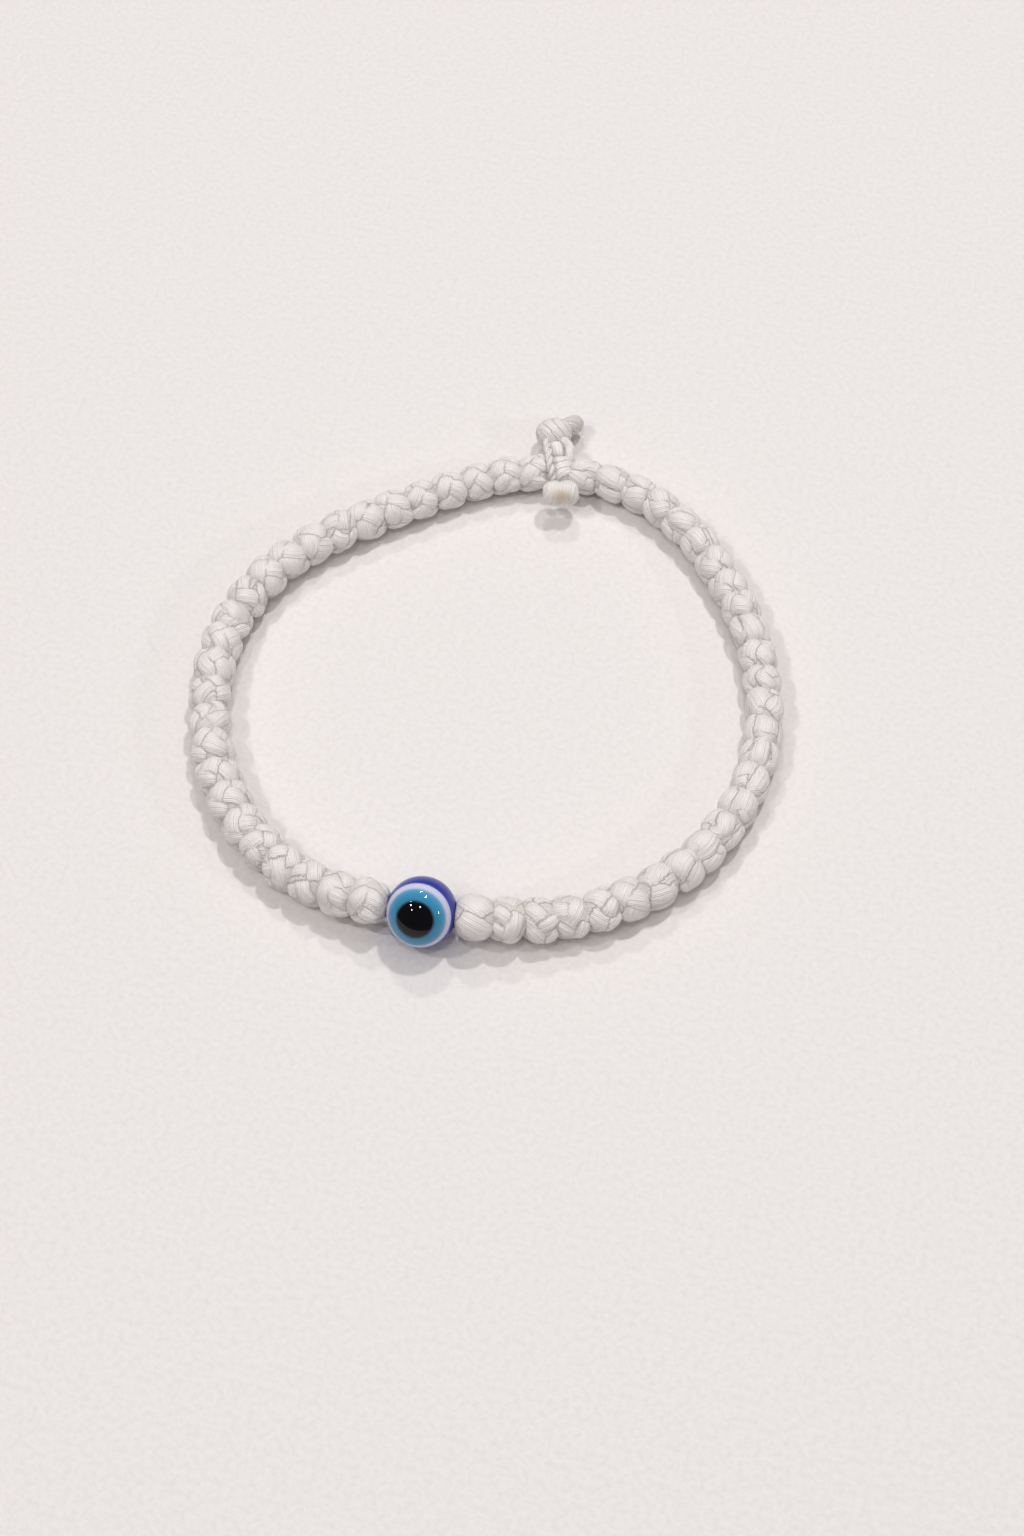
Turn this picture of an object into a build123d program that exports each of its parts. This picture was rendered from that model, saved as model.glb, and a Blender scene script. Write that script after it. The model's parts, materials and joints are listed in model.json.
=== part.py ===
from build123d import *
import os
from math import acos, asin, cos, degrees, pi, radians, sin

# Bracelet of knotted cord with one evil eye bead and a knotted cross closure.
# Frame: millimetres, +Z up, lying on z = 0, bead towards -Y, closure towards +Y.

# ---------------------------------------------------------------- driving dimensions
# band outline: its radius about ring_centre, plus waves as (count, height, angle of a crest)
ring_centre = (0.51, -3.98)
ring_radius = 32.07
ring_waves = [(2, 1.26, 40.3), (3, 1.04, -38.1), (4, 0.55, -14.8), (5, 0.34, 16.8)]
bead_angle = -90.0
closure_angle = 90.0

# bead, and the planes that part its cast layers, measured along the eye's axis
bead_radius = 4.0
bead_half_length = 3.75
bore_radius = 1.0
bore_cord_radius = 0.94
eye_elevation = 42.0
eye_turn = 6.5
white_plane = 0.39 * bead_radius
iris_plane = 0.60 * bead_radius
pupil_plane = 0.854 * bead_radius

# knots, counted on each side from the closure to the bead
knots_right = 27
knots_left = 26
knots_per_segment = 2
back_knot_radius = 2.15
right_knot_radius = 2.2
left_knot_radius = 2.4
front_knot_radius = 2.5
length_variation = 0.06
variation_step = 2.3

# link between two knots: the cord as a ball neck in a socket of the next knot
knot_gap = 0.30
pivot_depth = 0.90
neck_radius = 0.42
ball_radius = 0.75
link_clearance = 0.06
mouth_angle = 126.0
mouth_radius = 0.78

# knot section: a small flat end, a cone, then the round belly
face_radius = 0.88
shoulder = 0.50
belly_fillet = 0.75

# last links, where the bead's cord enters the knots beside it; the left one is the open link of the loop
bead_gap = 0.35
end_link_depth = 0.10
right_end_socket = bore_cord_radius + link_clearance
left_end_socket = bore_cord_radius + 0.20
end_face_radius = 1.30

# the bore is higher than the lying knots, so the knots beside the bead climb to it
climb_start = 15.0
climb_end = 4.6
rest_gap = 0.03

# closure: crossing knot in the band, an arm knot inside the ring, a neck and an arm knot outside it;
# places are measured from the middle line's point at the closure, heights from the table
crossing_radius = 1.75
crossing_half_width = 1.4
arm_ball_radius = 0.6
arm_gap = 0.15
neck_lump_radius = 0.95
neck_lump_half_length = 0.6
outer_knot_place = (-2.85, 6.80, 1.63)
outer_lobe_radius = 1.6
tail_place = (-0.45, 8.25, 1.30)
tail_radius = 1.15
inner_knot_place = (1.25, -4.15, 3.70)
inner_lobe_radius = 1.65
lobe_offset = 0.5
strand_radius = 0.36
left_strand = [(-3.7, 4.6, 2.2), (-3.3, 3.2, 2.9), (-2.3, 1.9, 3.9), (-1.6, 0.9, 4.3)]
right_strand = [(-0.3, 5.5, 2.3), (1.0, 3.7, 2.8), (1.1, 2.0, 3.7), (0.7, 0.9, 4.2)]

os.makedirs("parts", exist_ok=True)


# ---------------------------------------------------------------- layout of the band
def outline_point(angle):
    """Point of the band's middle line, seen from above, at an angle in degrees."""
    radius = ring_radius
    for count, height, crest in ring_waves:
        radius += height * cos(radians(count * (angle - crest)))
    x = ring_centre[0] + radius * cos(radians(angle))
    y = ring_centre[1] + radius * sin(radians(angle))
    return Vector(x, y)


def outline_direction(angle):
    """Direction of the middle line at an angle, anticlockwise."""
    return (outline_point(angle + 1.0) - outline_point(angle - 1.0)).normalized()


def outline_walk(turn):
    """Fine steps along the middle line from the closure to the bead, as (arc length, point) pairs."""
    steps = 3600
    walk = [(0.0, outline_point(closure_angle))]
    for n in range(1, steps + 1):
        point = outline_point(closure_angle + turn * 180.0 * n / steps)
        walk.append((walk[-1][0] + (point - walk[-1][1]).length, point))
    return walk


def ramp(value, low, high):
    """Smooth step from 0 at low to 1 at high."""
    share = min(1.0, max(0.0, (value - low) / (high - low)))
    return 0.5 - 0.5 * cos(pi * share)


def knot_radius(share, side_radius):
    """Radius of a knot, by its share of the way from the closure to the bead."""
    middle = back_knot_radius + (side_radius - back_knot_radius) * ramp(share, 0.05, 0.35)
    return middle + (front_knot_radius - side_radius) * ramp(share, 0.55, 0.85)


def side_layout(turn, count, side_radius):
    """Link points and knot radii of one side, from the closure to the bead."""
    walk = outline_walk(turn)
    total = walk[-1][0]
    room = total - crossing_half_width - bead_half_length - bead_gap
    shares = [1.0 + length_variation * sin(variation_step * n + turn) for n in range(count)]
    radii = [knot_radius((n + 0.5) / count, side_radius) for n in range(count)]
    links = []
    arc = crossing_half_width + pivot_depth
    for n in range(count):
        point = next(place for length, place in walk if length >= arc)
        climb = ramp(climb_start - (total - arc), 0.0, climb_start - climb_end)
        lying = radii[n] + rest_gap
        links.append(Vector(point.X, point.Y, lying + (bead_radius - lying) * climb))
        arc += room * shares[n] / sum(shares)
    end_offset = bead_half_length + bead_gap + end_link_depth
    links.append(bead_centre - bore_axis * turn * end_offset)
    return links, radii


bore_axis = outline_direction(bead_angle)
bead_centre = outline_point(bead_angle) + Vector(0, 0, bead_radius)
crossing_axis = -outline_direction(closure_angle)
closure_point = outline_point(closure_angle)
crossing_centre = Vector(closure_point.X, closure_point.Y, back_knot_radius + rest_gap)
right_links, right_radii = side_layout(-1, knots_right, right_knot_radius)
left_links, left_radii = side_layout(1, knots_left, left_knot_radius)


def by_closure(place):
    """Point at a place measured from the closure, with its height from the table."""
    return Vector(closure_point.X + place[0], closure_point.Y + place[1], place[2])


# ---------------------------------------------------------------- shapes
def add_knot(start, end, radius, end_socket=None):
    """Knot with a socket at its start link, and a ball neck or an end socket at its end link."""
    length = (end - start).length
    along = (end - start).normalized()
    section_plane = Plane(origin=start, x_dir=along, z_dir=along.cross(Vector(0, 0, 1)))
    socket_radius = ball_radius + link_clearance
    near = knot_gap / 2 - pivot_depth
    far = length - pivot_depth - knot_gap / 2
    end_face = face_radius
    if end_socket:
        far = length + end_link_depth
        end_face = end_face_radius
    with BuildSketch(section_plane) as section:
        with BuildLine():
            socket = CenterArc((0, 0), socket_radius, 0, mouth_angle)
            Polyline(
                socket @ 1,
                (near, mouth_radius),
                (near, face_radius),
                (near + shoulder, radius),
                (far - shoulder, radius),
                (far, end_face),
            )
            if end_socket:
                well = CenterArc((length, 0), end_socket, 90, 90)
                Polyline((far, end_face), (far, end_socket + link_clearance), well @ 0)
                Line(well @ 1, socket @ 0)
            else:
                neck_angle = 180 - degrees(asin(neck_radius / ball_radius))
                ball = CenterArc((length, 0), ball_radius, neck_angle, -neck_angle)
                Polyline((far, end_face), (far, neck_radius), ball @ 0)
                Line(ball @ 1, socket @ 0)
        make_face()
        fillet(section.vertices().group_by(Axis.Y)[-1], belly_fillet)
    revolve(section.sketch, axis=Axis(start, along))


def add_ball_neck(start, end, radius):
    """Neck of cord from one point to another, with a ball about the second point."""
    along = (end - start).normalized()
    length = (end - start).length
    neck_angle = 180 - degrees(asin(neck_radius / radius))
    with BuildSketch(Plane(origin=start, x_dir=along, z_dir=along.cross(Vector(0, 0, 1)))) as section:
        with BuildLine():
            ball = CenterArc((length, 0), radius, neck_angle, -neck_angle)
            Polyline(ball @ 1, (0, 0), (0, neck_radius), ball @ 0)
        make_face()
    revolve(section.sketch, axis=Axis(start, along))


def add_rod(start, end, radius):
    """Round rod from one point to another."""
    with Locations(Plane(origin=start, z_dir=end - start)):
        Cylinder(radius, (end - start).length, align=(Align.CENTER, Align.CENTER, Align.MIN))


def add_ball(centre, radius, mode=Mode.ADD):
    """Sphere about a point."""
    with Locations(centre):
        Sphere(radius, mode=mode)


def add_lobes(centre, across, radius):
    """Two round lobes side by side, as one solid of revolution about the line through them."""
    valley = degrees(acos(lobe_offset / radius))
    with BuildSketch(Plane(origin=centre, x_dir=across, z_dir=across.cross(Vector(0, 0, 1)))) as section:
        with BuildLine():
            left = CenterArc((-lobe_offset, 0), radius, 180, valley - 180)
            right = CenterArc((lobe_offset, 0), radius, 180 - valley, valley - 180)
            Line(right @ 1, left @ 0)
        make_face()
    revolve(section.sketch, axis=Axis(centre, across))


def add_strand(places):
    """Thin cord through a few places by the closure, with round bends and ends."""
    route = [by_closure(place) for place in places]
    for start, end in zip(route, route[1:]):
        add_rod(start, end, strand_radius)
    for point in route:
        add_ball(point, strand_radius)


def export(piece, name):
    """Label a finished piece and write it as the node of that name."""
    piece.part.label = name
    export_step(piece.part, f"parts/{name}.step")


# ---------------------------------------------------------------- band
def make_segments(side, links, radii, last_socket):
    """Closing knot of one side, then its segments of knots up to the bead."""
    with BuildPart() as closing_knot:
        add_knot(links[0], links[1], radii[0])
    export(closing_knot, f"closing_knot_{side}")
    last = len(radii) - 1
    for number, first in enumerate(range(1, last + 1, knots_per_segment), start=1):
        with BuildPart() as segment:
            for n in range(first, min(first + knots_per_segment, last + 1)):
                end_socket = last_socket if n == last else None
                add_knot(links[n], links[n + 1], radii[n], end_socket)
        export(segment, f"knots_{side}_{number:02d}")


make_segments("right", right_links, right_radii, right_end_socket)
make_segments("left", left_links, left_radii, left_end_socket)

with BuildPart() as bead_cord:
    add_rod(left_links[-1], right_links[-1], bore_cord_radius)
    add_ball(left_links[-1], bore_cord_radius)
    add_ball(right_links[-1], bore_cord_radius)
export(bead_cord, "bead_cord")

# ---------------------------------------------------------------- bead
eye_axis = bore_axis.rotate(Axis.Z, -90 - eye_turn) * cos(radians(eye_elevation))
eye_axis = eye_axis + Vector(0, 0, sin(radians(eye_elevation)))


def eye_plane(distance):
    """Plane across the eye's axis, at a distance from the bead's centre."""
    return Plane(origin=bead_centre + eye_axis * distance, z_dir=eye_axis)


def make_eye_layer(name, low, high):
    """Layer of the bead between two planes across the eye's axis."""
    with BuildPart() as layer:
        add_ball(bead_centre, bead_radius)
        split(bisect_by=eye_plane(low), keep=Keep.TOP)
        if high < bead_radius:
            split(bisect_by=eye_plane(high), keep=Keep.BOTTOM)
    export(layer, name)


with BuildPart() as eye_body:
    add_ball(bead_centre, bead_radius)
    split(bisect_by=eye_plane(white_plane), keep=Keep.BOTTOM)
    with Locations(Plane(origin=bead_centre, z_dir=bore_axis)):
        Cylinder(2 * bead_radius, 2 * bead_half_length, mode=Mode.INTERSECT)
        Cylinder(bore_radius, 3 * bead_radius, mode=Mode.SUBTRACT)
export(eye_body, "eye_body")
make_eye_layer("eye_white", white_plane, iris_plane)
make_eye_layer("eye_iris", iris_plane, pupil_plane)
make_eye_layer("eye_pupil", pupil_plane, bead_radius)

# ---------------------------------------------------------------- closure
outer_knot_centre = by_closure(outer_knot_place)
inner_knot_centre = by_closure(inner_knot_place)
outward = Vector(outer_knot_centre.X, outer_knot_centre.Y, crossing_centre.Z) - crossing_centre
outward = outward.normalized()
inward = (inner_knot_centre - crossing_centre).normalized()
outer_across = outward.cross(Vector(0, 0, 1))
inner_across = Vector(0, 0, 1).cross(inward).normalized()
neck_start = crossing_centre + outward * (crossing_radius + arm_gap)
neck_end = outer_knot_centre - outward * (outer_lobe_radius + arm_gap)
inner_start = crossing_centre + inward * (crossing_radius + arm_gap)
dish_radius = arm_ball_radius + link_clearance

with BuildPart() as crossing_knot:
    end_angle = degrees(acos((crossing_half_width - knot_gap / 2) / crossing_radius))
    section_normal = crossing_axis.cross(Vector(0, 0, 1))
    crossing_plane = Plane(origin=crossing_centre, x_dir=crossing_axis, z_dir=section_normal)
    with BuildSketch(crossing_plane) as section:
        with BuildLine():
            belly = CenterArc((0, 0), crossing_radius, end_angle, 180 - 2 * end_angle)
            Polyline(belly @ 1, ((belly @ 1).X, 0), ((belly @ 0).X, 0), belly @ 0)
        make_face()
    revolve(section.sketch, axis=Axis(crossing_centre, crossing_axis))
    for link in (right_links[0], left_links[0]):
        add_ball_neck(crossing_centre, link, ball_radius)
    add_ball(neck_start, dish_radius, Mode.SUBTRACT)
    add_ball(inner_start, dish_radius, Mode.SUBTRACT)
export(crossing_knot, "crossing_knot")

with BuildPart() as neck_knot:
    lump = (neck_end - neck_start).normalized() * neck_lump_half_length
    lump_centre = (neck_start + neck_end) * 0.5
    add_ball_neck(lump_centre, neck_start, arm_ball_radius)
    add_ball_neck(lump_centre, neck_end, arm_ball_radius)
    add_rod(lump_centre - lump, lump_centre + lump, neck_lump_radius)
    add_ball(lump_centre - lump, neck_lump_radius)
    add_ball(lump_centre + lump, neck_lump_radius)
export(neck_knot, "neck_knot")

with BuildPart() as link_strand_left:
    add_strand(left_strand)
export(link_strand_left, "link_strand_left")

with BuildPart() as link_strand_right:
    add_strand(right_strand)
export(link_strand_right, "link_strand_right")

with BuildPart() as outer_knot:
    add_lobes(outer_knot_centre, outer_across, outer_lobe_radius)
    add_ball(neck_end, dish_radius, Mode.SUBTRACT)
export(outer_knot, "outer_knot")

with BuildPart() as cut_tail:
    add_ball(by_closure(tail_place), tail_radius)
    add(outer_knot.part, mode=Mode.SUBTRACT)
export(cut_tail, "cut_tail")

with BuildPart() as inner_knot:
    add_lobes(inner_knot_centre, inner_across, inner_lobe_radius)
    add_ball_neck(inner_knot_centre, inner_start, arm_ball_radius)
export(inner_knot, "inner_knot")
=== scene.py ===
import json
import math
import random

import bmesh
import bpy
import numpy as np
from mathutils import Matrix, Vector

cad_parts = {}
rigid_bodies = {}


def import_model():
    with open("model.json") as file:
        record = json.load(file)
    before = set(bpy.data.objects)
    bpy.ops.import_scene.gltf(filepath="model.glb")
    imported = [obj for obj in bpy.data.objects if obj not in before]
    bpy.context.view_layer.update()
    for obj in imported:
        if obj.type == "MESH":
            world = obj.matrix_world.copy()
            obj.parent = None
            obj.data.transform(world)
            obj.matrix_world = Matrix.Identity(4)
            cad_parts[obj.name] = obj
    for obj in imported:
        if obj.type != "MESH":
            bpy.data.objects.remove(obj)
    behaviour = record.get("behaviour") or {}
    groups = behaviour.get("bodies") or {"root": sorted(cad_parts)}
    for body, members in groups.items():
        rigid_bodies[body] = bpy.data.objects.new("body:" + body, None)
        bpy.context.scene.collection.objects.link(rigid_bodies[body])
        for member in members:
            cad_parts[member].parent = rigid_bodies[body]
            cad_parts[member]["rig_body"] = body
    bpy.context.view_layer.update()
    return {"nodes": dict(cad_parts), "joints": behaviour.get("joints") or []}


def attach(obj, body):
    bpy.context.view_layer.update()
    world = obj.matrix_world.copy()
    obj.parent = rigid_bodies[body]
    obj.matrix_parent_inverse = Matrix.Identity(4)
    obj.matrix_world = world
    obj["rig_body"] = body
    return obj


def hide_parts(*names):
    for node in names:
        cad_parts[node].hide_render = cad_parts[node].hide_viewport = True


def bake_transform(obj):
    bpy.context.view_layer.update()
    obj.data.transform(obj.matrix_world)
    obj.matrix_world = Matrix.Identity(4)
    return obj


# Bracelet of knotted cord with one eye bead and a knotted cross closure.
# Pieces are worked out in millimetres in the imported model's frame, and add_mesh scales them to metres:
# +Z up, bead towards -Y, closure towards +Y. The floor, the lamps and the camera are given in metres.

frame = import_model()

MM = 0.001
UP = Vector((0, 0, 1))

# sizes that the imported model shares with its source
BALL_RADIUS = 0.75
PIVOT_DEPTH = 0.9
BEAD_RADIUS = 4.0
BEAD_HALF_LENGTH = 3.75
BORE_RADIUS = 1.0
BEAD_CORD_RADIUS = 0.94
END_LINK_OFFSET = 4.20
CLOSURE_OFFSET = 1.9
CROSSING_RADIUS = 1.75
OUTER_LOBE_RADIUS = 1.6
INNER_LOBE_RADIUS = 1.65
TAIL_RADIUS = 1.15

# CAD parts of the band on each side, after the closing knot
BAND_PARTS = 13

# lobed forms: how full the hollows between strands are, as a share of the tallest strand, how sharply
# strands meet, how blunt a form's and a strand's ends are, where the painted crease shade starts, as a
# share of the tallest strand, how soft it is, and how far the fibres shift from one strand to the next
FILL = 0.44
BLEND_POWER = 4
END_POWER = 0.4545
STRAND_END_POWER = 2.6
CREASE_DEPTH = 0.75
CREASE_POWER = 1.5
STRAND_SHIFT = 0.37
FORM_ROWS = 44
BAND_COLUMNS = 84
CLOSURE_COLUMNS = 96

# woven knots of the band: how far one runs into its neighbour and into the bead's room, how square its
# outline is, how much its ends may lean, and how much fuller it is than the plain CAD knot
KNOT_OVERLAP = 0.92
BEAD_REACH = 0.95
KNOT_SQUARENESS = 2.5
KNOT_SHEAR = 0.14
KNOT_PUFF = 0.22

# gaps left where soft cord is pressed against the bead and the table
BEAD_ROOM = 0.03
TABLE_ROOM = 0.02


# ---------------------------------------------------------------- layout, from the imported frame
joint_of = {j["child"]: j for j in frame["joints"]}


def hinge(body):
    """Place of the hinge that carries a body, in millimetres."""
    return Vector(joint_of[body]["pos_m"]) / MM


def hinge_axis(body):
    """Direction of the hinge that carries a body."""
    return Vector(joint_of[body]["axis"]).normalized()


def node_points(node):
    """The CAD node's vertices, in millimetres."""
    mesh = frame["nodes"][node].data
    points = np.empty(len(mesh.vertices) * 3, np.float32)
    mesh.vertices.foreach_get("co", points)
    return points.reshape(-1, 3).astype(float) / MM


def islands(node):
    """The separate solids of a CAD node, each as its vertices in millimetres."""
    mesh = frame["nodes"][node].data
    points = node_points(node)
    _, label = np.unique(np.round(points, 2), axis=0, return_inverse=True)
    label = label.ravel()
    edges = np.empty(len(mesh.edges) * 2, np.int32)
    mesh.edges.foreach_get("vertices", edges)
    first, second = label[edges.reshape(-1, 2)].T
    group = np.arange(label.max() + 1)
    changed = True
    while changed:
        lowest = np.minimum(group[first], group[second])
        before = group.copy()
        np.minimum.at(group, first, lowest)
        np.minimum.at(group, second, lowest)
        group = group[group]
        changed = bool((group != before).any())
    owner = group[label]
    return [points[owner == g] for g in np.unique(owner)]


def far_link(points, start):
    """Centre of the ball at the far end of a solid, seen from its start."""
    away = points - np.array(start)
    distance = np.linalg.norm(away, axis=1)
    far = int(distance.argmax())
    return start + Vector(away[far] / distance[far]) * (distance[far] - BALL_RADIUS)


def radius_about(points, start, end):
    """Largest distance of a solid's points from the line start-end."""
    along = np.array((end - start).normalized())
    off = points - np.array(start)
    off = off - np.outer(off @ along, along)
    return float(np.linalg.norm(off, axis=1).max())


bead_centre = hinge("eye_bead")
bore = hinge_axis("eye_bead")
outward = UP.cross(hinge_axis("outer_arm")).normalized()
crossing_centre = hinge("neck") - outward * CLOSURE_OFFSET


def side_knots(side):
    """Knots of one side from the closure to the bead, as (node, start link, end link, radius)."""
    turn = 1 if side == "right" else -1
    towards = np.array(hinge(f"{side}_1") - crossing_centre)
    points = node_points("crossing_knot")
    points = points[(points - np.array(crossing_centre)) @ towards > 0]
    start = far_link(points, crossing_centre)
    knots = []
    nodes = [f"closing_knot_{side}"] + [f"knots_{side}_{n:02d}" for n in range(1, BAND_PARTS + 1)]
    for node in nodes:
        solids = islands(node)
        solids.sort(key=lambda solid: np.linalg.norm(solid.mean(axis=0) - np.array(start)))
        for solid in solids:
            end = far_link(solid, start)
            if node == nodes[-1] and solid is solids[-1]:
                end = bead_centre + bore * turn * END_LINK_OFFSET
            knots.append((node, start, end, radius_about(solid, start, end)))
            start = end
    return knots


# ---------------------------------------------------------------- lobed cord forms
class Strand:
    """One raised stretch of cord on the skin of a round form about X.

    place and turn are its middle, as arc length from the form's middle and angle about X. lean is its
    direction, from 0 along the form to a right angle round it. bend curves it sideways, and taper
    widens it towards its far end.
    """

    def __init__(self, place, turn, lean, half_length, half_width, height, bend=0.0, taper=0.0):
        self.place = place
        self.turn = turn
        self.lean = lean
        self.half_length = half_length
        self.half_width = half_width
        self.height = height
        self.bend = bend
        self.taper = taper


def barrel_profile(low, high, radius, squareness, rows):
    """Outline of a round form about X, from low to high: x, radius, and arc length from its middle."""
    v = np.linspace(-1, 1, rows)
    u = np.sin(v * math.pi / 2)
    x = (low + high) / 2 + u * (high - low) / 2
    r = radius * (1 - np.abs(u) ** squareness) ** END_POWER
    step = np.hypot(np.diff(x), np.diff(r))
    arc = np.concatenate([[0], np.cumsum(step)])
    return x, r, arc - np.interp(0.0, u, arc)


def round_skin(rows, columns):
    """Faces of a closed form about X, from a first pole through rings of points to a last pole."""
    faces = [(0, 1 + (s + 1) % columns, 1 + s) for s in range(columns)]
    for ring in range(rows - 3):
        base = 1 + ring * columns
        for s in range(columns):
            t = (s + 1) % columns
            faces.append((base + s, base + t, base + t + columns, base + s + columns))
    last = 1 + (rows - 2) * columns
    base = last - columns
    faces += [(last, base + s, base + (s + 1) % columns) for s in range(columns)]
    return faces


def lobed_form(profile, strands, columns=BAND_COLUMNS):
    """A closed round form about X whose skin carries raised strands.

    Returns vertices, faces and the attributes along and across, which are places on the strand that
    shows at each point, and a mask, 1 in the hollows between strands, for the painted crease shade.
    """
    x, r, arc = profile
    rows = len(x)
    radius = r.max()
    theta = np.linspace(0, 2 * math.pi, columns, endpoint=False)
    tangent = np.gradient(x), np.gradient(r)
    size = np.hypot(*tangent)
    normal_x, normal_r = -tangent[1] / size, tangent[0] / size
    arc_grid, theta_grid = np.meshgrid(arc, theta, indexing="ij")
    blended = np.zeros_like(arc_grid)
    highest = np.full_like(arc_grid, -1.0)
    along = np.zeros_like(arc_grid)
    across = np.zeros_like(arc_grid)
    for number, strand in enumerate(strands):
        ds = arc_grid - strand.place
        dt = (theta_grid - strand.turn + math.pi) % (2 * math.pi) - math.pi
        dt = dt * radius
        a = ds * math.cos(strand.lean) + dt * math.sin(strand.lean)
        b = dt * math.cos(strand.lean) - ds * math.sin(strand.lean) - strand.bend * a * a
        width = strand.half_width * (1 + strand.taper * np.clip(a / strand.half_length, -1, 1))
        run = np.clip(1 - np.abs(a / strand.half_length) ** STRAND_END_POWER, 0, 1)
        section = np.clip(1 - (b / width) ** 2, 0, 1)
        height = strand.height * np.sqrt(section * run)
        blended += height**BLEND_POWER
        taller = height > highest
        highest[taller] = height[taller]
        along[taller] = a[taller]
        across[taller] = b[taller] + STRAND_SHIFT * number
    top = max(s.height for s in strands)
    blended = (blended + (FILL * top) ** BLEND_POWER) ** (1 / BLEND_POWER)
    # painted shade mask: 0 on strands above CREASE_DEPTH of the tallest, rising to 1 in the deepest
    # hollows
    crease_shade = np.clip(1 - highest / (CREASE_DEPTH * top), 0, 1) ** CREASE_POWER
    rise = blended - top
    grid_x = x[:, None] + normal_x[:, None] * rise
    grid_r = np.maximum(0.0, r[:, None] + normal_r[:, None] * rise)
    grid = np.stack([grid_x, grid_r * np.cos(theta), grid_r * np.sin(theta)], axis=-1)
    vertices = [grid[0].mean(axis=0)]
    for row in range(1, rows - 1):
        vertices.extend(grid[row])
    vertices.append(grid[-1].mean(axis=0))

    def flat(values):
        return np.concatenate([[values[0].mean()], values[1:-1].ravel(), [values[-1].mean()]])

    attributes = {"along": flat(along), "across": flat(across), "crease_shade": flat(crease_shade)}
    return np.array(vertices), round_skin(rows, columns), attributes


# The weaves below all take a knot's radius, its half length and a source of random numbers.
def crossed_strands(radius, half, dice):
    """Two rows of strands leaning towards each other, as over-and-under weave."""
    count = dice.choice((4, 5, 5))
    strands = []
    start = dice.uniform(0, 2 * math.pi)
    for row in (-1, 1):
        for k in range(count):
            turn = start + 2 * math.pi * (k + 0.5 * (row > 0)) / count + dice.uniform(-0.15, 0.15)
            lean = -row * math.radians(dice.uniform(30, 58))
            strands.append(
                Strand(
                    place=row * half * dice.uniform(0.38, 0.60),
                    turn=turn,
                    lean=lean,
                    half_length=half * dice.uniform(0.85, 1.15),
                    half_width=dice.uniform(0.78, 1.0) * math.pi * radius / count,
                    height=dice.uniform(0.42, 0.62),
                    bend=dice.uniform(-0.12, 0.12),
                    taper=dice.uniform(-0.25, 0.25),
                )
            )
    return strands


def fanned_strands(radius, half, dice):
    """Broad wedges that run along the knot, with short cords wrapped across their ends."""
    count = dice.choice((4, 5, 5))
    strands = []
    start = dice.uniform(0, 2 * math.pi)
    for k in range(count):
        side = 1 if k % 2 else -1
        turn = start + 2 * math.pi * k / count + dice.uniform(-0.16, 0.16)
        strands.append(
            Strand(
                place=side * half * dice.uniform(0.05, 0.30),
                turn=turn,
                lean=math.radians(dice.uniform(-30, 30)),
                half_length=half * dice.uniform(1.05, 1.30),
                half_width=dice.uniform(0.92, 1.12) * math.pi * radius / count,
                height=dice.uniform(0.44, 0.58),
                bend=dice.uniform(-0.12, 0.12),
                taper=side * dice.uniform(0.15, 0.40),
            )
        )
        strands.append(
            Strand(
                place=-side * half * dice.uniform(0.75, 0.95),
                turn=turn + dice.uniform(-0.3, 0.3),
                lean=math.radians(dice.uniform(55, 110)),
                half_length=dice.uniform(1.2, 1.7),
                half_width=dice.uniform(0.65, 0.9),
                height=dice.uniform(0.36, 0.52),
                bend=dice.uniform(-0.15, 0.15),
            )
        )
    return strands


def mixed_strands(radius, half, dice):
    """A few broad ovals on one half of the knot and smaller crossing strands on the other."""
    strands = []
    start = dice.uniform(0, 2 * math.pi)
    end = dice.choice((-1, 1))
    for k in range(4):
        strands.append(
            Strand(
                place=end * half * dice.uniform(0.30, 0.5),
                turn=start + math.pi / 2 * k + dice.uniform(-0.2, 0.2),
                lean=end * math.radians(dice.uniform(42, 76)),
                half_length=dice.uniform(1.7, 2.2),
                half_width=dice.uniform(1.05, 1.3),
                height=dice.uniform(0.46, 0.62),
                bend=dice.uniform(-0.08, 0.08),
                taper=dice.uniform(-0.2, 0.2),
            )
        )
    for k in range(5):
        strands.append(
            Strand(
                place=-end * half * dice.uniform(0.45, 0.75),
                turn=start + 2 * math.pi * k / 5 + dice.uniform(-0.2, 0.2),
                lean=-end * math.radians(dice.uniform(15, 50)),
                half_length=dice.uniform(1.3, 1.8),
                half_width=dice.uniform(0.95, 1.2),
                height=dice.uniform(0.40, 0.56),
                bend=dice.uniform(-0.1, 0.1),
                taper=dice.uniform(-0.3, 0.3),
            )
        )
    return strands


def smooth_strands(radius, half, dice):
    """A few very broad strands, for a knot that looks almost smooth."""
    strands = []
    start = dice.uniform(0, 2 * math.pi)
    for k in range(4):
        strands.append(
            Strand(
                place=half * dice.uniform(-0.3, 0.3),
                turn=start + math.pi / 2 * k,
                lean=math.radians(dice.uniform(30, 60)),
                half_length=dice.uniform(2.6, 3.0),
                half_width=radius * dice.uniform(0.72, 0.85),
                height=dice.uniform(0.34, 0.42),
            )
        )
    return strands


def placed(points, centre, along):
    """Points of a form about X, turned so that X is the given direction, and moved to a centre."""
    along = along.normalized()
    side = UP.cross(along).normalized()
    return points @ np.array((along, side, along.cross(side))) + np.array(centre)


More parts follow.
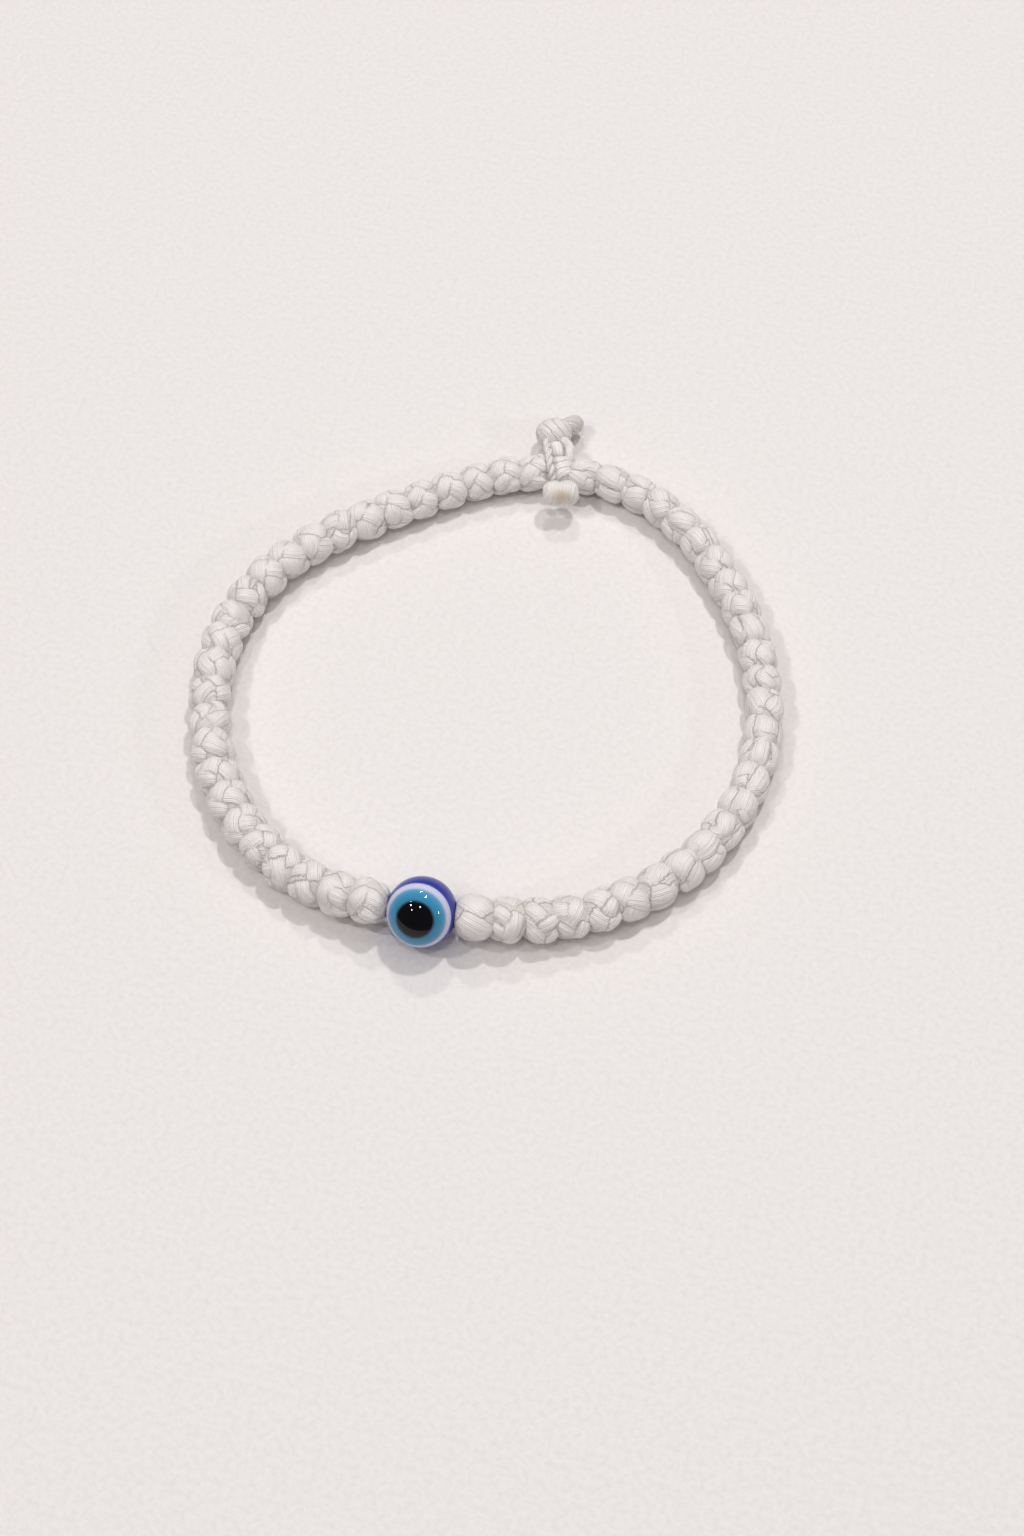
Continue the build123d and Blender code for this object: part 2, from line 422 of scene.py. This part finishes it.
def add_mesh(name, points, faces, body, nodes, material, attributes=None):
    """A smooth mesh piece, given in millimetres, that stands for CAD nodes and rides on a body, if any.

    Attributes give a value for each point, by name, for the material to read.
    """
    mesh = bpy.data.meshes.new(name)
    mesh.from_pydata([tuple(p) for p in np.asarray(points) * MM], [], faces)
    mesh.polygons.foreach_set("use_smooth", [True] * len(mesh.polygons))
    for key, values in (attributes or {}).items():
        layer = mesh.attributes.new(key, "FLOAT", "POINT")
        layer.data.foreach_set("value", np.asarray(values, np.float32))
    mesh.materials.append(material)
    piece = bpy.data.objects.new(name, mesh)
    bpy.context.scene.collection.objects.link(piece)
    if body:
        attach(piece, body)
    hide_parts(*nodes)
    return piece


# ---------------------------------------------------------------- materials
class Nodes:
    """A material's node tree, built a node at a time. Noise scales are per metre."""

    def __init__(self, name):
        self.material = bpy.data.materials.new(name)
        self.material.use_nodes = True
        self.tree = self.material.node_tree
        self.shader = self.tree.nodes["Principled BSDF"]

    def add(self, kind, inputs=None, **settings):
        """A node with its inputs linked or set, by name or number."""
        node = self.tree.nodes.new(kind)
        for key, value in settings.items():
            setattr(node, key, value)
        for key, value in (inputs or {}).items():
            if isinstance(value, bpy.types.NodeSocket):
                self.tree.links.new(value, node.inputs[key])
            else:
                node.inputs[key].default_value = value
        return node

    def set(self, **values):
        """Link or set inputs of the material's shader."""
        for key, value in values.items():
            socket = self.shader.inputs[key.replace("_", " ")]
            if isinstance(value, bpy.types.NodeSocket):
                self.tree.links.new(value, socket)
            else:
                socket.default_value = value

    def math(self, operation, *values):
        return self.add("ShaderNodeMath", dict(enumerate(values)), operation=operation).outputs[0]

    def attribute(self, name):
        return self.add("ShaderNodeAttribute", attribute_name=name).outputs["Fac"]

    def noise(self, place, scale, detail=2.0):
        inputs = {"Vector": place, "Scale": scale, "Detail": detail}
        return self.add("ShaderNodeTexNoise", inputs).outputs["Fac"]

    def ramp(self, factor, stops):
        """Colour by a factor from 0 to 1, from (place, colour) stops."""
        node = self.add("ShaderNodeValToRGB", {"Fac": factor})
        elements = node.color_ramp.elements
        while len(elements) < len(stops):
            elements.new(0.5)
        for element, (place, colour) in zip(elements, stops):
            element.position = place
            element.color = (*colour, 1)
        return node.outputs["Color"]


# depth of the fine relief of each surface, in metres
CORD_RELIEF = 0.00009
BEAD_RELIEF = 0.00003
TABLE_RELIEF = 0.00016

# pitch of the fibres and of the plies that show on a strand, in millimetres
FIBRE_PITCH = 0.24
PLY_PITCH = 0.66


def cord_material(name, light, painted_shade, stain=None):
    """Waxed white cord: fine twisted fibres along each strand, with painted shade that greys the creases
    and the grooves between fibres.
    """
    m = Nodes(name)
    place = m.add("ShaderNodeTexCoord").outputs["Object"]
    crease_shade = m.attribute("crease_shade")
    drift = m.noise(place, 700.0, 3.0)
    phase = m.math("ADD", m.math("MULTIPLY", m.attribute("along"), 0.18), m.attribute("across"))
    phase = m.math("ADD", phase, m.math("MULTIPLY", drift, 0.30))
    fibre = m.math("SINE", m.math("MULTIPLY", phase, 2 * math.pi / FIBRE_PITCH))
    ply = m.math("SINE", m.math("MULTIPLY", phase, 2 * math.pi / PLY_PITCH))
    fuzz = m.noise(place, 4200.0, 4.0)
    height = m.math("ADD", m.math("MULTIPLY", fibre, 0.34), m.math("MULTIPLY", ply, 0.40))
    height = m.math("ADD", height, m.math("MULTIPLY", fuzz, 0.9))
    bump = m.add("ShaderNodeBump", {"Height": height, "Strength": 0.8, "Distance": CORD_RELIEF})
    # painted shade: the colour greys towards the second colour in the creases, and a little between
    # fibres and plies; drift adds random mottling of the cord's own tone
    shade = m.math("ADD", m.math("MULTIPLY", crease_shade, 0.6), m.math("MULTIPLY", drift, 0.30))
    shade = m.math("SUBTRACT", shade, m.math("MULTIPLY", m.math("ADD", fibre, ply), 0.035))
    colour = m.ramp(shade, [(0.10, light), (0.95, painted_shade)])
    if stain:
        amount = m.math("MULTIPLY", m.attribute("scorch"), m.math("ADD", drift, 0.45))
        mix = m.add("ShaderNodeMix", {0: amount, 6: colour, 7: (*stain, 1)}, data_type="RGBA")
        colour = mix.outputs[2]
    gloss = m.add("ShaderNodeMapRange", {"Value": fuzz, "To Min": 0.30, "To Max": 0.50}).outputs[0]
    m.set(
        Base_Color=colour,
        Roughness=gloss,
        Normal=bump.outputs[0],
        Subsurface_Weight=0.30,
        Subsurface_Radius=(1.0, 0.92, 0.85),
        Subsurface_Scale=0.0005,
        Coat_Weight=0.28,
        Coat_Roughness=0.35,
    )
    return m.material


# the bead's colours by degrees from the eye's axis: pupil, iris, white layer and cobalt body
BEAD_STOPS = [
    (0.0, (0.001, 0.001, 0.002)),
    (29.6, (0.002, 0.002, 0.004)),
    (31.8, (0.015, 0.060, 0.100)),
    (34.2, (0.040, 0.220, 0.390)),
    (45.0, (0.055, 0.280, 0.490)),
    (51.5, (0.120, 0.340, 0.560)),
    (55.5, (0.520, 0.570, 0.760)),
    (59.0, (0.660, 0.665, 0.830)),
    (65.5, (0.600, 0.600, 0.800)),
    (67.5, (0.060, 0.075, 0.420)),
    (72.0, (0.030, 0.045, 0.330)),
    (180.0, (0.025, 0.035, 0.290)),
]


def bead_material(name):
    """Polished cast resin, coloured by the angle from the eye's axis, with a slight swirl."""
    m = Nodes(name)
    place = m.add("ShaderNodeTexCoord").outputs["Object"]
    cloud = m.math("SUBTRACT", m.noise(place, 900.0, 3.0), 0.5)
    angle = m.math("ADD", m.attribute("polar"), m.math("MULTIPLY", cloud, 0.006))
    colour = m.ramp(angle, [(stop / 180, shade) for stop, shade in BEAD_STOPS])
    waves = m.noise(place, 350.0, 1.0)
    bump = m.add("ShaderNodeBump", {"Height": waves, "Strength": 0.08, "Distance": BEAD_RELIEF})
    haze = m.noise(place, 1800.0)
    gloss = m.add("ShaderNodeMapRange", {"Value": haze, "To Min": 0.015, "To Max": 0.035})
    m.set(
        Base_Color=colour,
        Roughness=gloss.outputs[0],
        Normal=bump.outputs[0],
        Specular_IOR_Level=0.38,
    )
    return m.material


# each cord's first colour is its own; the second is painted shade, for its creases and the grooves
# between fibres
CORD_LIGHT = (0.895, 0.85, 0.83)
CORD_PAINTED_SHADE = (0.80, 0.76, 0.72)
SCORCH = (0.62, 0.49, 0.34)
MELTED_LIGHT = (0.72, 0.69, 0.655)
MELTED_PAINTED_SHADE = (0.56, 0.53, 0.49)
CORD = cord_material("white_cord", CORD_LIGHT, CORD_PAINTED_SHADE)
SCORCHED_CORD = cord_material("scorched_cord", CORD_LIGHT, CORD_PAINTED_SHADE, SCORCH)
MELTED_CORD = cord_material("melted_cord", MELTED_LIGHT, MELTED_PAINTED_SHADE)


# ---------------------------------------------------------------- band
# share of the way to the bead from which the knots are mixed, and how often a side's usual weave comes up
MIXED_FROM = 0.78
FANNED_SHARE = 0.75
CROSSED_SHARE = 0.7


def strand_style(side, share, last, dice):
    """The weave of a knot by its side and its share of the way from the closure to the bead."""
    if last:
        return smooth_strands if side == "right" else mixed_strands
    if share > MIXED_FROM:
        return mixed_strands
    if side == "right":
        return fanned_strands if dice.random() < FANNED_SHARE else crossed_strands
    return crossed_strands if dice.random() < CROSSED_SHARE else mixed_strands


def pressed(points):
    """Points kept off the bead and off the table, as soft cord that is pressed against them."""
    away = points - np.array(bead_centre)
    distance = np.linalg.norm(away, axis=1)
    room = BEAD_RADIUS + BEAD_ROOM
    inside = distance < room
    points[inside] = np.array(bead_centre) + away[inside] * (room / distance[inside])[:, None]
    points[:, 2] = np.maximum(points[:, 2], TABLE_ROOM)
    return points


def make_band(side, dice):
    """The woven knots of one side, each in the place of its CAD knot."""
    knots = side_knots(side)
    for n, (node, start, end, radius) in enumerate(knots):
        last = n + 1 == len(knots)
        along = (end - start).normalized()
        near, far = -PIVOT_DEPTH, (end - start).length - PIVOT_DEPTH
        if last:
            far += PIVOT_DEPTH + BEAD_REACH
        half = (far - near) / 2
        style = strand_style(side, n / len(knots), last, dice)
        strands = style(radius, half, dice)
        overlap_far = 0.0 if last else KNOT_OVERLAP
        profile = barrel_profile(
            -half - KNOT_OVERLAP, half + overlap_far, radius + KNOT_PUFF, KNOT_SQUARENESS, FORM_ROWS
        )
        points, faces, attributes = lobed_form(profile, strands)
        if not last:
            lean = (dice.uniform(-KNOT_SHEAR, KNOT_SHEAR), dice.uniform(-KNOT_SHEAR, KNOT_SHEAR))
            points[:, 0] += points[:, 1] * lean[0] + points[:, 2] * lean[1]
        centre = start + along * (near + half)
        points = pressed(placed(points, centre, along))
        body = frame["nodes"][node]["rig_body"]
        name = f"cord_knot_{side}_{n:02d}"
        add_mesh(name, points, faces, body, [node], CORD, attributes)


for side, seed in (("right", 21), ("left", 34)):
    make_band(side, random.Random(seed))


# ---------------------------------------------------------------- thin cords
def route_curve(places, steps):
    """Points of a smooth curve through all the places, with the same number of steps between each two."""
    places = [np.array(p, float) for p in places]
    padded = [2 * places[0] - places[1]] + places + [2 * places[-1] - places[-2]]
    curve = []
    for before, start, end, after in zip(padded, padded[1:], padded[2:], padded[3:]):
        for k in range(steps):
            t = k / steps
            curve.append(
                0.5
                * (
                    2 * start
                    + (end - before) * t
                    + (2 * before - 5 * start + 4 * end - after) * t**2
                    + (3 * start - before - 3 * end + after) * t**3
                )
            )
    curve.append(places[-1])
    return np.array(curve)


# radius of one ply, as a share of the cord's, by how many plies it has
PLY_SHARES = {1: 1.0, 2: 0.64, 3: 0.52}

# a ply's end: the share of its half length left full, how round the rest is, and how small it may get
END_START = 0.9
END_ROUNDNESS = 0.0104
END_LEAST = 0.02
# length of cord that one step of a route stands for in the fibre pattern
STEP_LENGTH = 0.2


def twisted_cord(places, radius, plies, turns, sides=14, steps=16):
    """Cord of a few plies twisted round each other along a route, with rounded ends."""
    curve = route_curve(places, steps)
    count = len(curve)
    tangents = np.gradient(curve, axis=0)
    tangents /= np.linalg.norm(tangents, axis=1)[:, None]
    normal = np.cross(tangents[0], (0.2, 0.1, 0.9))  # any direction across the start
    ply_radius = radius * PLY_SHARES[plies]
    lay = radius - ply_radius
    sideways = []
    for tangent in tangents:
        normal = normal - tangent * (normal @ tangent)
        normal /= np.linalg.norm(normal)
        sideways.append((normal, np.cross(tangent, normal)))
    vertices, faces = [], []
    along, across, crease_shade = [], [], []
    for ply in range(plies):
        base = len(vertices)
        for k in range(count):
            share = k / (count - 1)
            turn = 2 * math.pi * (turns * share + ply / plies)
            n, b = sideways[k]
            centre = curve[k] + lay * (math.cos(turn) * n + math.sin(turn) * b)
            past = max(0.0, abs(2 * share - 1) - END_START)
            taper = math.sqrt(max(END_LEAST, 1 - past**2 / END_ROUNDNESS))
            for s in range(sides):
                a = 2 * math.pi * s / sides
                vertices.append(centre + ply_radius * taper * (math.cos(a) * n + math.sin(a) * b))
                along.append(k * STEP_LENGTH)
                across.append(ply_radius * a)
                # painted shade mask for the cord material: up to half strength, strongest on one side of
                # each ply and turning with the twist
                crease_shade.append(0.25 + 0.25 * math.cos(a - turn))
        for k in range(count - 1):
            for s in range(sides):
                t = (s + 1) % sides
                a = base + k * sides
                faces.append((a + s, a + t, a + sides + t, a + sides + s))
        faces.append(tuple(base + s for s in reversed(range(sides))))
        faces.append(tuple(base + (count - 1) * sides + s for s in range(sides)))
    return np.array(vertices), faces, {"along": along, "across": across, "crease_shade": crease_shade}


# the cord through the bead ends a little inside the knots on both sides
half_cord = END_LINK_OFFSET + 0.3
cord_ends = [bead_centre - bore * half_cord, bead_centre, bead_centre + bore * half_cord]
points, faces, attributes = twisted_cord(cord_ends, BEAD_CORD_RADIUS, plies=3, turns=2.5)
cord_body = frame["nodes"]["bead_cord"]["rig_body"]
add_mesh("bead_cord_strands", points, faces, cord_body, ["bead_cord"], CORD, attributes)

# ---------------------------------------------------------------- bead
pupil_points = node_points("eye_pupil")
eye_axis = (Vector(pupil_points.mean(axis=0)) - bead_centre).normalized()

# outer edge of each cast layer, as an angle from the eye's axis, by where its CAD plane cuts the ball
PUPIL_ANGLE = math.acos(0.854)
IRIS_ANGLE = math.acos(0.60)
WHITE_ANGLE = math.acos(0.39)
# how much narrower a layer's flat back is than the ball there
LAYER_INSET = 0.02
LAYER_COLUMNS = 96


def polar(points):
    """Angle of points from the eye's axis about the bead's centre, as a share of a half turn."""
    away = points - np.array(bead_centre)
    away /= np.linalg.norm(away, axis=1)[:, None]
    return np.arccos(np.clip(away @ np.array(eye_axis), -1, 1)) / math.pi


def turned_form(profile, columns):
    """Closed solid of revolution about X from (x, radius) pairs that start and end on the axis."""
    theta = np.linspace(0, 2 * math.pi, columns, endpoint=False)
    vertices = [(profile[0][0], 0, 0)]
    for x, r in profile[1:-1]:
        vertices += [(x, r * math.cos(t), r * math.sin(t)) for t in theta]
    vertices.append((profile[-1][0], 0, 0))
    return np.array(vertices), round_skin(len(profile), columns)


def cap_profile(outer_angle, inner_angle, rows=26):
    """Section of one cast layer: a slice of the ball between two angles from the eye's axis."""
    low = BEAD_RADIUS * math.cos(outer_angle)
    profile = [(low, 0), (low, BEAD_RADIUS * math.sin(outer_angle) - LAYER_INSET)]
    for k in range(rows + 1):
        angle = outer_angle + (inner_angle - outer_angle) * k / rows
        profile.append((BEAD_RADIUS * math.cos(angle), BEAD_RADIUS * math.sin(angle)))
    if inner_angle > 0:
        high = BEAD_RADIUS * math.cos(inner_angle)
        profile.append((high, 0))
    else:
        profile[-1] = (BEAD_RADIUS, 0)
    return profile


def add_layer(name, node, slot, outer_angle, inner_angle):
    """One cast layer of the eye, in the place of its CAD node."""
    points, faces = turned_form(cap_profile(outer_angle, inner_angle), LAYER_COLUMNS)
    points = placed(points, bead_centre, eye_axis)
    add_mesh(name, points, faces, "eye_bead", [node], bead_material(slot), {"polar": polar(points)})


# the cobalt body: rounding of the bore's ends, how far they stand back, and the bore's inner ends, which
# close the form on its axis inside the ball
LIP = 0.16
LIP_SETBACK = 0.06
LIP_STEPS = 8
BORE_DEPTH = 1.7
BORE_BOTTOM = 1.6
BODY_ROWS = 60
BODY_COLUMNS = 128
SHARP_ANGLE = math.radians(40)


def add_bead_body():
    """Ball with a bore, rounded lips at its ends, and its front cut away for the eye's layers."""
    inner_end = BEAD_HALF_LENGTH - LIP_SETBACK - LIP
    section = []
    for k in range(LIP_STEPS + 1):
        angle = math.pi / 2 * k / LIP_STEPS
        section.append((inner_end + LIP * math.sin(angle), BORE_RADIUS + LIP - LIP * math.cos(angle)))
    edge = math.asin((BORE_RADIUS + 2 * LIP) / BEAD_RADIUS)
    for k in range(BODY_ROWS + 1):
        angle = edge + (math.pi / 2 - edge) * k / BODY_ROWS
        section.append((BEAD_RADIUS * math.cos(angle), BEAD_RADIUS * math.sin(angle)))
    profile = [(-BORE_BOTTOM, 0), (-BORE_DEPTH, BORE_RADIUS)]
    profile += [(-x, r) for x, r in section]
    profile += [(x, r) for x, r in reversed(section[:-1])]
    profile += [(BORE_DEPTH, BORE_RADIUS), (BORE_BOTTOM, 0)]
    points, faces = turned_form(profile, BODY_COLUMNS)
    points = placed(points, bead_centre, bore)
    mesh = bpy.data.meshes.new("whole")
    mesh.from_pydata([tuple(p) for p in points], [], faces)
    work = bmesh.new()
    work.from_mesh(mesh)
    cut = bead_centre + eye_axis * (BEAD_RADIUS * math.cos(WHITE_ANGLE))
    geometry = work.verts[:] + work.edges[:] + work.faces[:]
    bmesh.ops.bisect_plane(work, geom=geometry, plane_co=cut, plane_no=eye_axis, clear_outer=True)
    bmesh.ops.holes_fill(work, edges=[e for e in work.edges if e.is_boundary])
    work.verts.index_update()
    points = np.array([v.co[:] for v in work.verts])
    faces = [tuple(v.index for v in f.verts) for f in work.faces]
    work.free()
    bpy.data.meshes.remove(mesh)
    attributes = {"polar": polar(points)}
    material = bead_material("bead_blue")
    piece = add_mesh(
        "bead_body", points, faces, "eye_bead", ["eye_body"], material, attributes
    )
    for face in piece.data.polygons:
        if len(face.vertices) > 4:
            face.use_smooth = False
    piece.data.set_sharp_from_angle(angle=SHARP_ANGLE)


add_bead_body()
add_layer("bead_white_layer", "eye_white", "bead_white", WHITE_ANGLE, IRIS_ANGLE)
add_layer("bead_iris_layer", "eye_iris", "bead_light_blue", IRIS_ANGLE, PUPIL_ANGLE)
add_layer("bead_pupil_layer", "eye_pupil", "bead_black", PUPIL_ANGLE, 0.0)

# ---------------------------------------------------------------- closure
inner_start = hinge("inner_arm")
inward = (inner_start - crossing_centre).normalized()
inner_across = -hinge_axis("inner_arm")
outer_across = hinge_axis("outer_arm")
neck_middle = (hinge("neck") + hinge("outer_arm")) / 2


def lobe_centre(node, start, direction, lobe_radius):
    """Centre of a two-lobed CAD knot, found from how far it reaches along a direction."""
    reach = (node_points(node) - np.array(start)) @ np.array(direction)
    return start + direction * (float(reach.max()) - lobe_radius)


inner_centre = lobe_centre("inner_knot", inner_start, inward, INNER_LOBE_RADIUS)
outer_centre = lobe_centre("outer_knot", hinge("outer_arm"), outward, OUTER_LOBE_RADIUS)
# the CAD tail is a ball, so its centre is one radius in from its largest X, Y and Z
tail_centre = Vector(node_points("cut_tail").max(axis=0)) - Vector((TAIL_RADIUS,) * 3)

# the soft outer knot and tail are pushed up and back over the neck
OUTER_SHIFT = UP * 1.0 - outward * 1.5
TAIL_SHIFT = UP * 0.8 - outward * 0.7 + Vector((-0.35, -0.1, 0))
outer_middle = outer_centre + OUTER_SHIFT
tail_middle = tail_centre + TAIL_SHIFT


def add_closure_knot(
    name, node, material, centre, along, half, radius, strands, squareness=3.0, slot="white_cord", **extra
):
    """A knot of the closure: a lobed form about a direction, in the place of its CAD node.

    Extra arguments name attributes and give the function of the points that makes each.
    """
    profile = barrel_profile(-half, half, radius, squareness, FORM_ROWS)
    points, faces, attributes = lobed_form(profile, strands, CLOSURE_COLUMNS)
    points = placed(points, centre, along)
    for key, function in extra.items():
        attributes[key] = function(points)
    body = frame["nodes"][node]["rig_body"]
    add_mesh(name, points, faces, body, [node], material, attributes)


# three strands, a third of a turn apart, overlap into one wrap round a form
WRAP_HALF_LENGTH = 3.6


def wraps(places, half_width, height, lean=90.0):
    """Cords wound round a form at several places along it, leaning by an angle in degrees."""
    strands = []
    for place in places:
        for turn in (0.0, 2 * math.pi / 3, 4 * math.pi / 3):
            strands.append(Strand(place, turn, math.radians(lean), WRAP_HALF_LENGTH, half_width, height))
    return strands


def inner_place(points):
    """Place of points along the inner knot, so that its fibres run on from lobe to lobe."""
    return (points - np.array(inner_centre)) @ np.array(inner_across)


# the scorched patch: the way it faces from the knot's centre, its radius, the share of a distance along X
# that counts, which widens it, and how strong and how sharp it is
SCORCH_FACING = Vector((0.14, -0.80, 0.60)).normalized()
SCORCH_RADIUS = 0.85
SCORCH_X_SHARE = 0.62
SCORCH_STRENGTH = 0.8
SCORCH_POWER = 3


def scorch(points):
    """How strongly the cord is scorched: a patch that faces up and away from the band."""
    away = points - np.array(inner_centre + SCORCH_FACING * INNER_LOBE_RADIUS)
    away[:, 0] *= SCORCH_X_SHARE
    distance = np.linalg.norm(away, axis=1)
    return SCORCH_STRENGTH * np.exp(-((distance / SCORCH_RADIUS) ** SCORCH_POWER))


add_closure_knot(
    "closure_crossing", "crossing_knot", CORD,
    centre=crossing_centre,
    along=outward,
    half=2.0,
    radius=CROSSING_RADIUS + 0.2,
    strands=wraps((-1.0, 0.0, 1.0), half_width=0.75, height=0.22, lean=78),
)
add_closure_knot(
    "closure_inner_knot", "inner_knot", SCORCHED_CORD,
    centre=inner_centre - inner_across * 0.3,
    along=inner_across,
    half=2.65,
    radius=INNER_LOBE_RADIUS + 0.04,
    strands=wraps((-1.4, 1.4), half_width=1.55, height=0.70),
    squareness=1.9,
    scorch=scorch,
    across=inner_place,
)
add_closure_knot(
    "closure_outer_knot", "outer_knot", CORD,
    centre=outer_middle,
    along=outer_across,
    half=2.3,
    radius=OUTER_LOBE_RADIUS + 0.32,
    strands=wraps((-2.3, -1.1, 0.1, 1.3, 2.5), half_width=0.85, height=0.22, lean=60),
    squareness=2.1,
)
add_closure_knot(
    "closure_tail", "cut_tail", MELTED_CORD,
    centre=tail_middle,
    along=outer_middle - tail_middle,
    half=1.7,
    radius=TAIL_RADIUS + 0.06,
    strands=wraps((0.0,), half_width=1.6, height=0.16, lean=50),
    squareness=2.6,
    slot="melted_cord",
)
neck_strands = [
    Strand(
        place=0.0,
        turn=math.pi / 2 + 2 * math.pi * k / 3,
        lean=math.radians(12),
        half_length=2.8,
        half_width=1.8,
        height=0.36,
    )
    for k in range(3)
]
add_closure_knot(
    "closure_neck", "neck_knot", CORD,
    centre=neck_middle - UP * 0.25,
    along=outward,
    half=2.2,
    radius=1.62,
    strands=neck_strands,
)

# the two link strands, each with its plies, its radius, and its route from the neck to the band: X and Y
# from the crossing knot's centre, and Z from the table
LINK_TURNS = 2.8
LINK_STRANDS = {
    "left": (
        2,
        0.56,
        [
            (-2.95, 4.1, 2.8),
            (-2.45, 2.6, 3.6),
            (-1.9, 1.0, 4.35),
            (-1.4, -0.5, 4.65),
            (-0.95, -1.6, 4.1),
            (-0.7, -2.0, 3.2),
        ],
    ),
    "right": (
        1,
        0.62,
        [
            (-0.9, 4.4, 2.9),
            (0.0, 3.5, 3.3),
            (0.5, 2.4, 3.5),
            (0.7, 1.3, 2.9),
            (0.7, 0.8, 2.4),
        ],
    ),
}
for side, (plies, radius, route) in LINK_STRANDS.items():
    places = [(crossing_centre.x + x, crossing_centre.y + y, z) for x, y, z in route]
    points, faces, attributes = twisted_cord(places, radius, plies, LINK_TURNS)
    node = f"link_strand_{side}"
    piece = add_mesh(f"{node}_plies", points, faces, None, [node], CORD, attributes)
    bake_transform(piece)

# ---------------------------------------------------------------- floor, lights and camera
FLOOR_HALF = 2.0
corners = [(-FLOOR_HALF, -FLOOR_HALF, 0), (FLOOR_HALF, -FLOOR_HALF, 0)]
corners += [(FLOOR_HALF, FLOOR_HALF, 0), (-FLOOR_HALF, FLOOR_HALF, 0)]
floor_mesh = bpy.data.meshes.new("floor")
floor_mesh.from_pydata(corners, [], [(0, 1, 2, 3)])
floor = bpy.data.objects.new("floor", floor_mesh)
bpy.context.scene.collection.objects.link(floor)
table_top = Nodes("table_top")
table_place = table_top.add("ShaderNodeTexCoord").outputs["Object"]
grain = table_top.noise(table_place, 1500.0, 5.0)
table_bump = table_top.add("ShaderNodeBump", {"Height": grain, "Strength": 0.6, "Distance": TABLE_RELIEF})
table_colour = table_top.ramp(grain, [(0.3, (0.77, 0.735, 0.73)), (0.6, (0.82, 0.785, 0.78))])
table_top.set(Base_Color=table_colour, Roughness=0.6, Normal=table_bump.outputs[0])
floor_mesh.materials.append(table_top.material)

# the camera stands off the middle of the ring, turned about Z and tilted up from straight down
CAMERA_PLACE = (0.042085, -0.155235, 0.251585)
CAMERA_TURN = math.radians(14.536)
CAMERA_TILT = math.radians(30.442)
SENSOR_WIDTH = 36
LENS = 58.59

# light: small ceiling lamps that make the shadows and glints, one wide soft one, and a dim room
LAMP_DISTANCE = 1.2
LAMP_SIZE = 0.07
LAMP_POWER = 12.0
LAMP_COLOUR = (1.0, 0.985, 0.97)
CEILING_SIZE = 3.0
CEILING_POWER = 8.2
ROOM_LIGHT = 0.12
ROOM_COLOUR = (1.0, 0.985, 0.98, 1)
# small lamps: direction as seen along the camera's heading, and share of their power
LAMPS = [
    ((0.22, 0.34, 0.92), 0.34),
    ((-0.54, -0.08, 0.84), 0.20),
    ((-0.06, -0.23, 0.97), 0.12),
    ((-0.03, 0.62, 0.78), 0.15),
    ((-0.50, -0.33, 0.80), 0.08),
    ((0.83, -0.31, 0.46), 0.11),
]


def add_lamp(name, direction, power, size=LAMP_SIZE):
    """Round lamp aimed at the middle of the ring."""
    lamp = bpy.data.lights.new(name, "AREA")
    lamp.shape = "DISK"
    lamp.size = size
    lamp.energy = power
    lamp.color = LAMP_COLOUR
    holder = bpy.data.objects.new(name, lamp)
    bpy.context.scene.collection.objects.link(holder)
    towards = Matrix.Rotation(CAMERA_TURN, 3, "Z") @ Vector(direction).normalized()
    holder.location = towards * LAMP_DISTANCE
    holder.rotation_euler = (-holder.location).to_track_quat("-Z", "Y").to_euler()
    return holder


for number, (direction, share) in enumerate(LAMPS):
    add_lamp(f"ceiling_lamp_{number}", direction, LAMP_POWER * share)
ceiling = add_lamp("ceiling", (0, 0, 1), CEILING_POWER, CEILING_SIZE)
ceiling.visible_glossy = False
world = bpy.data.worlds.new("room")
bpy.context.scene.world = world
world.use_nodes = True
background = world.node_tree.nodes["Background"]
background.inputs["Color"].default_value = ROOM_COLOUR
background.inputs["Strength"].default_value = ROOM_LIGHT

lens = bpy.data.cameras.new("camera")
lens.sensor_width = SENSOR_WIDTH
lens.lens = LENS
camera = bpy.data.objects.new("camera", lens)
bpy.context.scene.collection.objects.link(camera)
camera.location = CAMERA_PLACE
camera.rotation_euler = (CAMERA_TILT, 0, CAMERA_TURN)
bpy.context.scene.camera = camera
bpy.context.scene.view_settings.view_transform = "Standard"
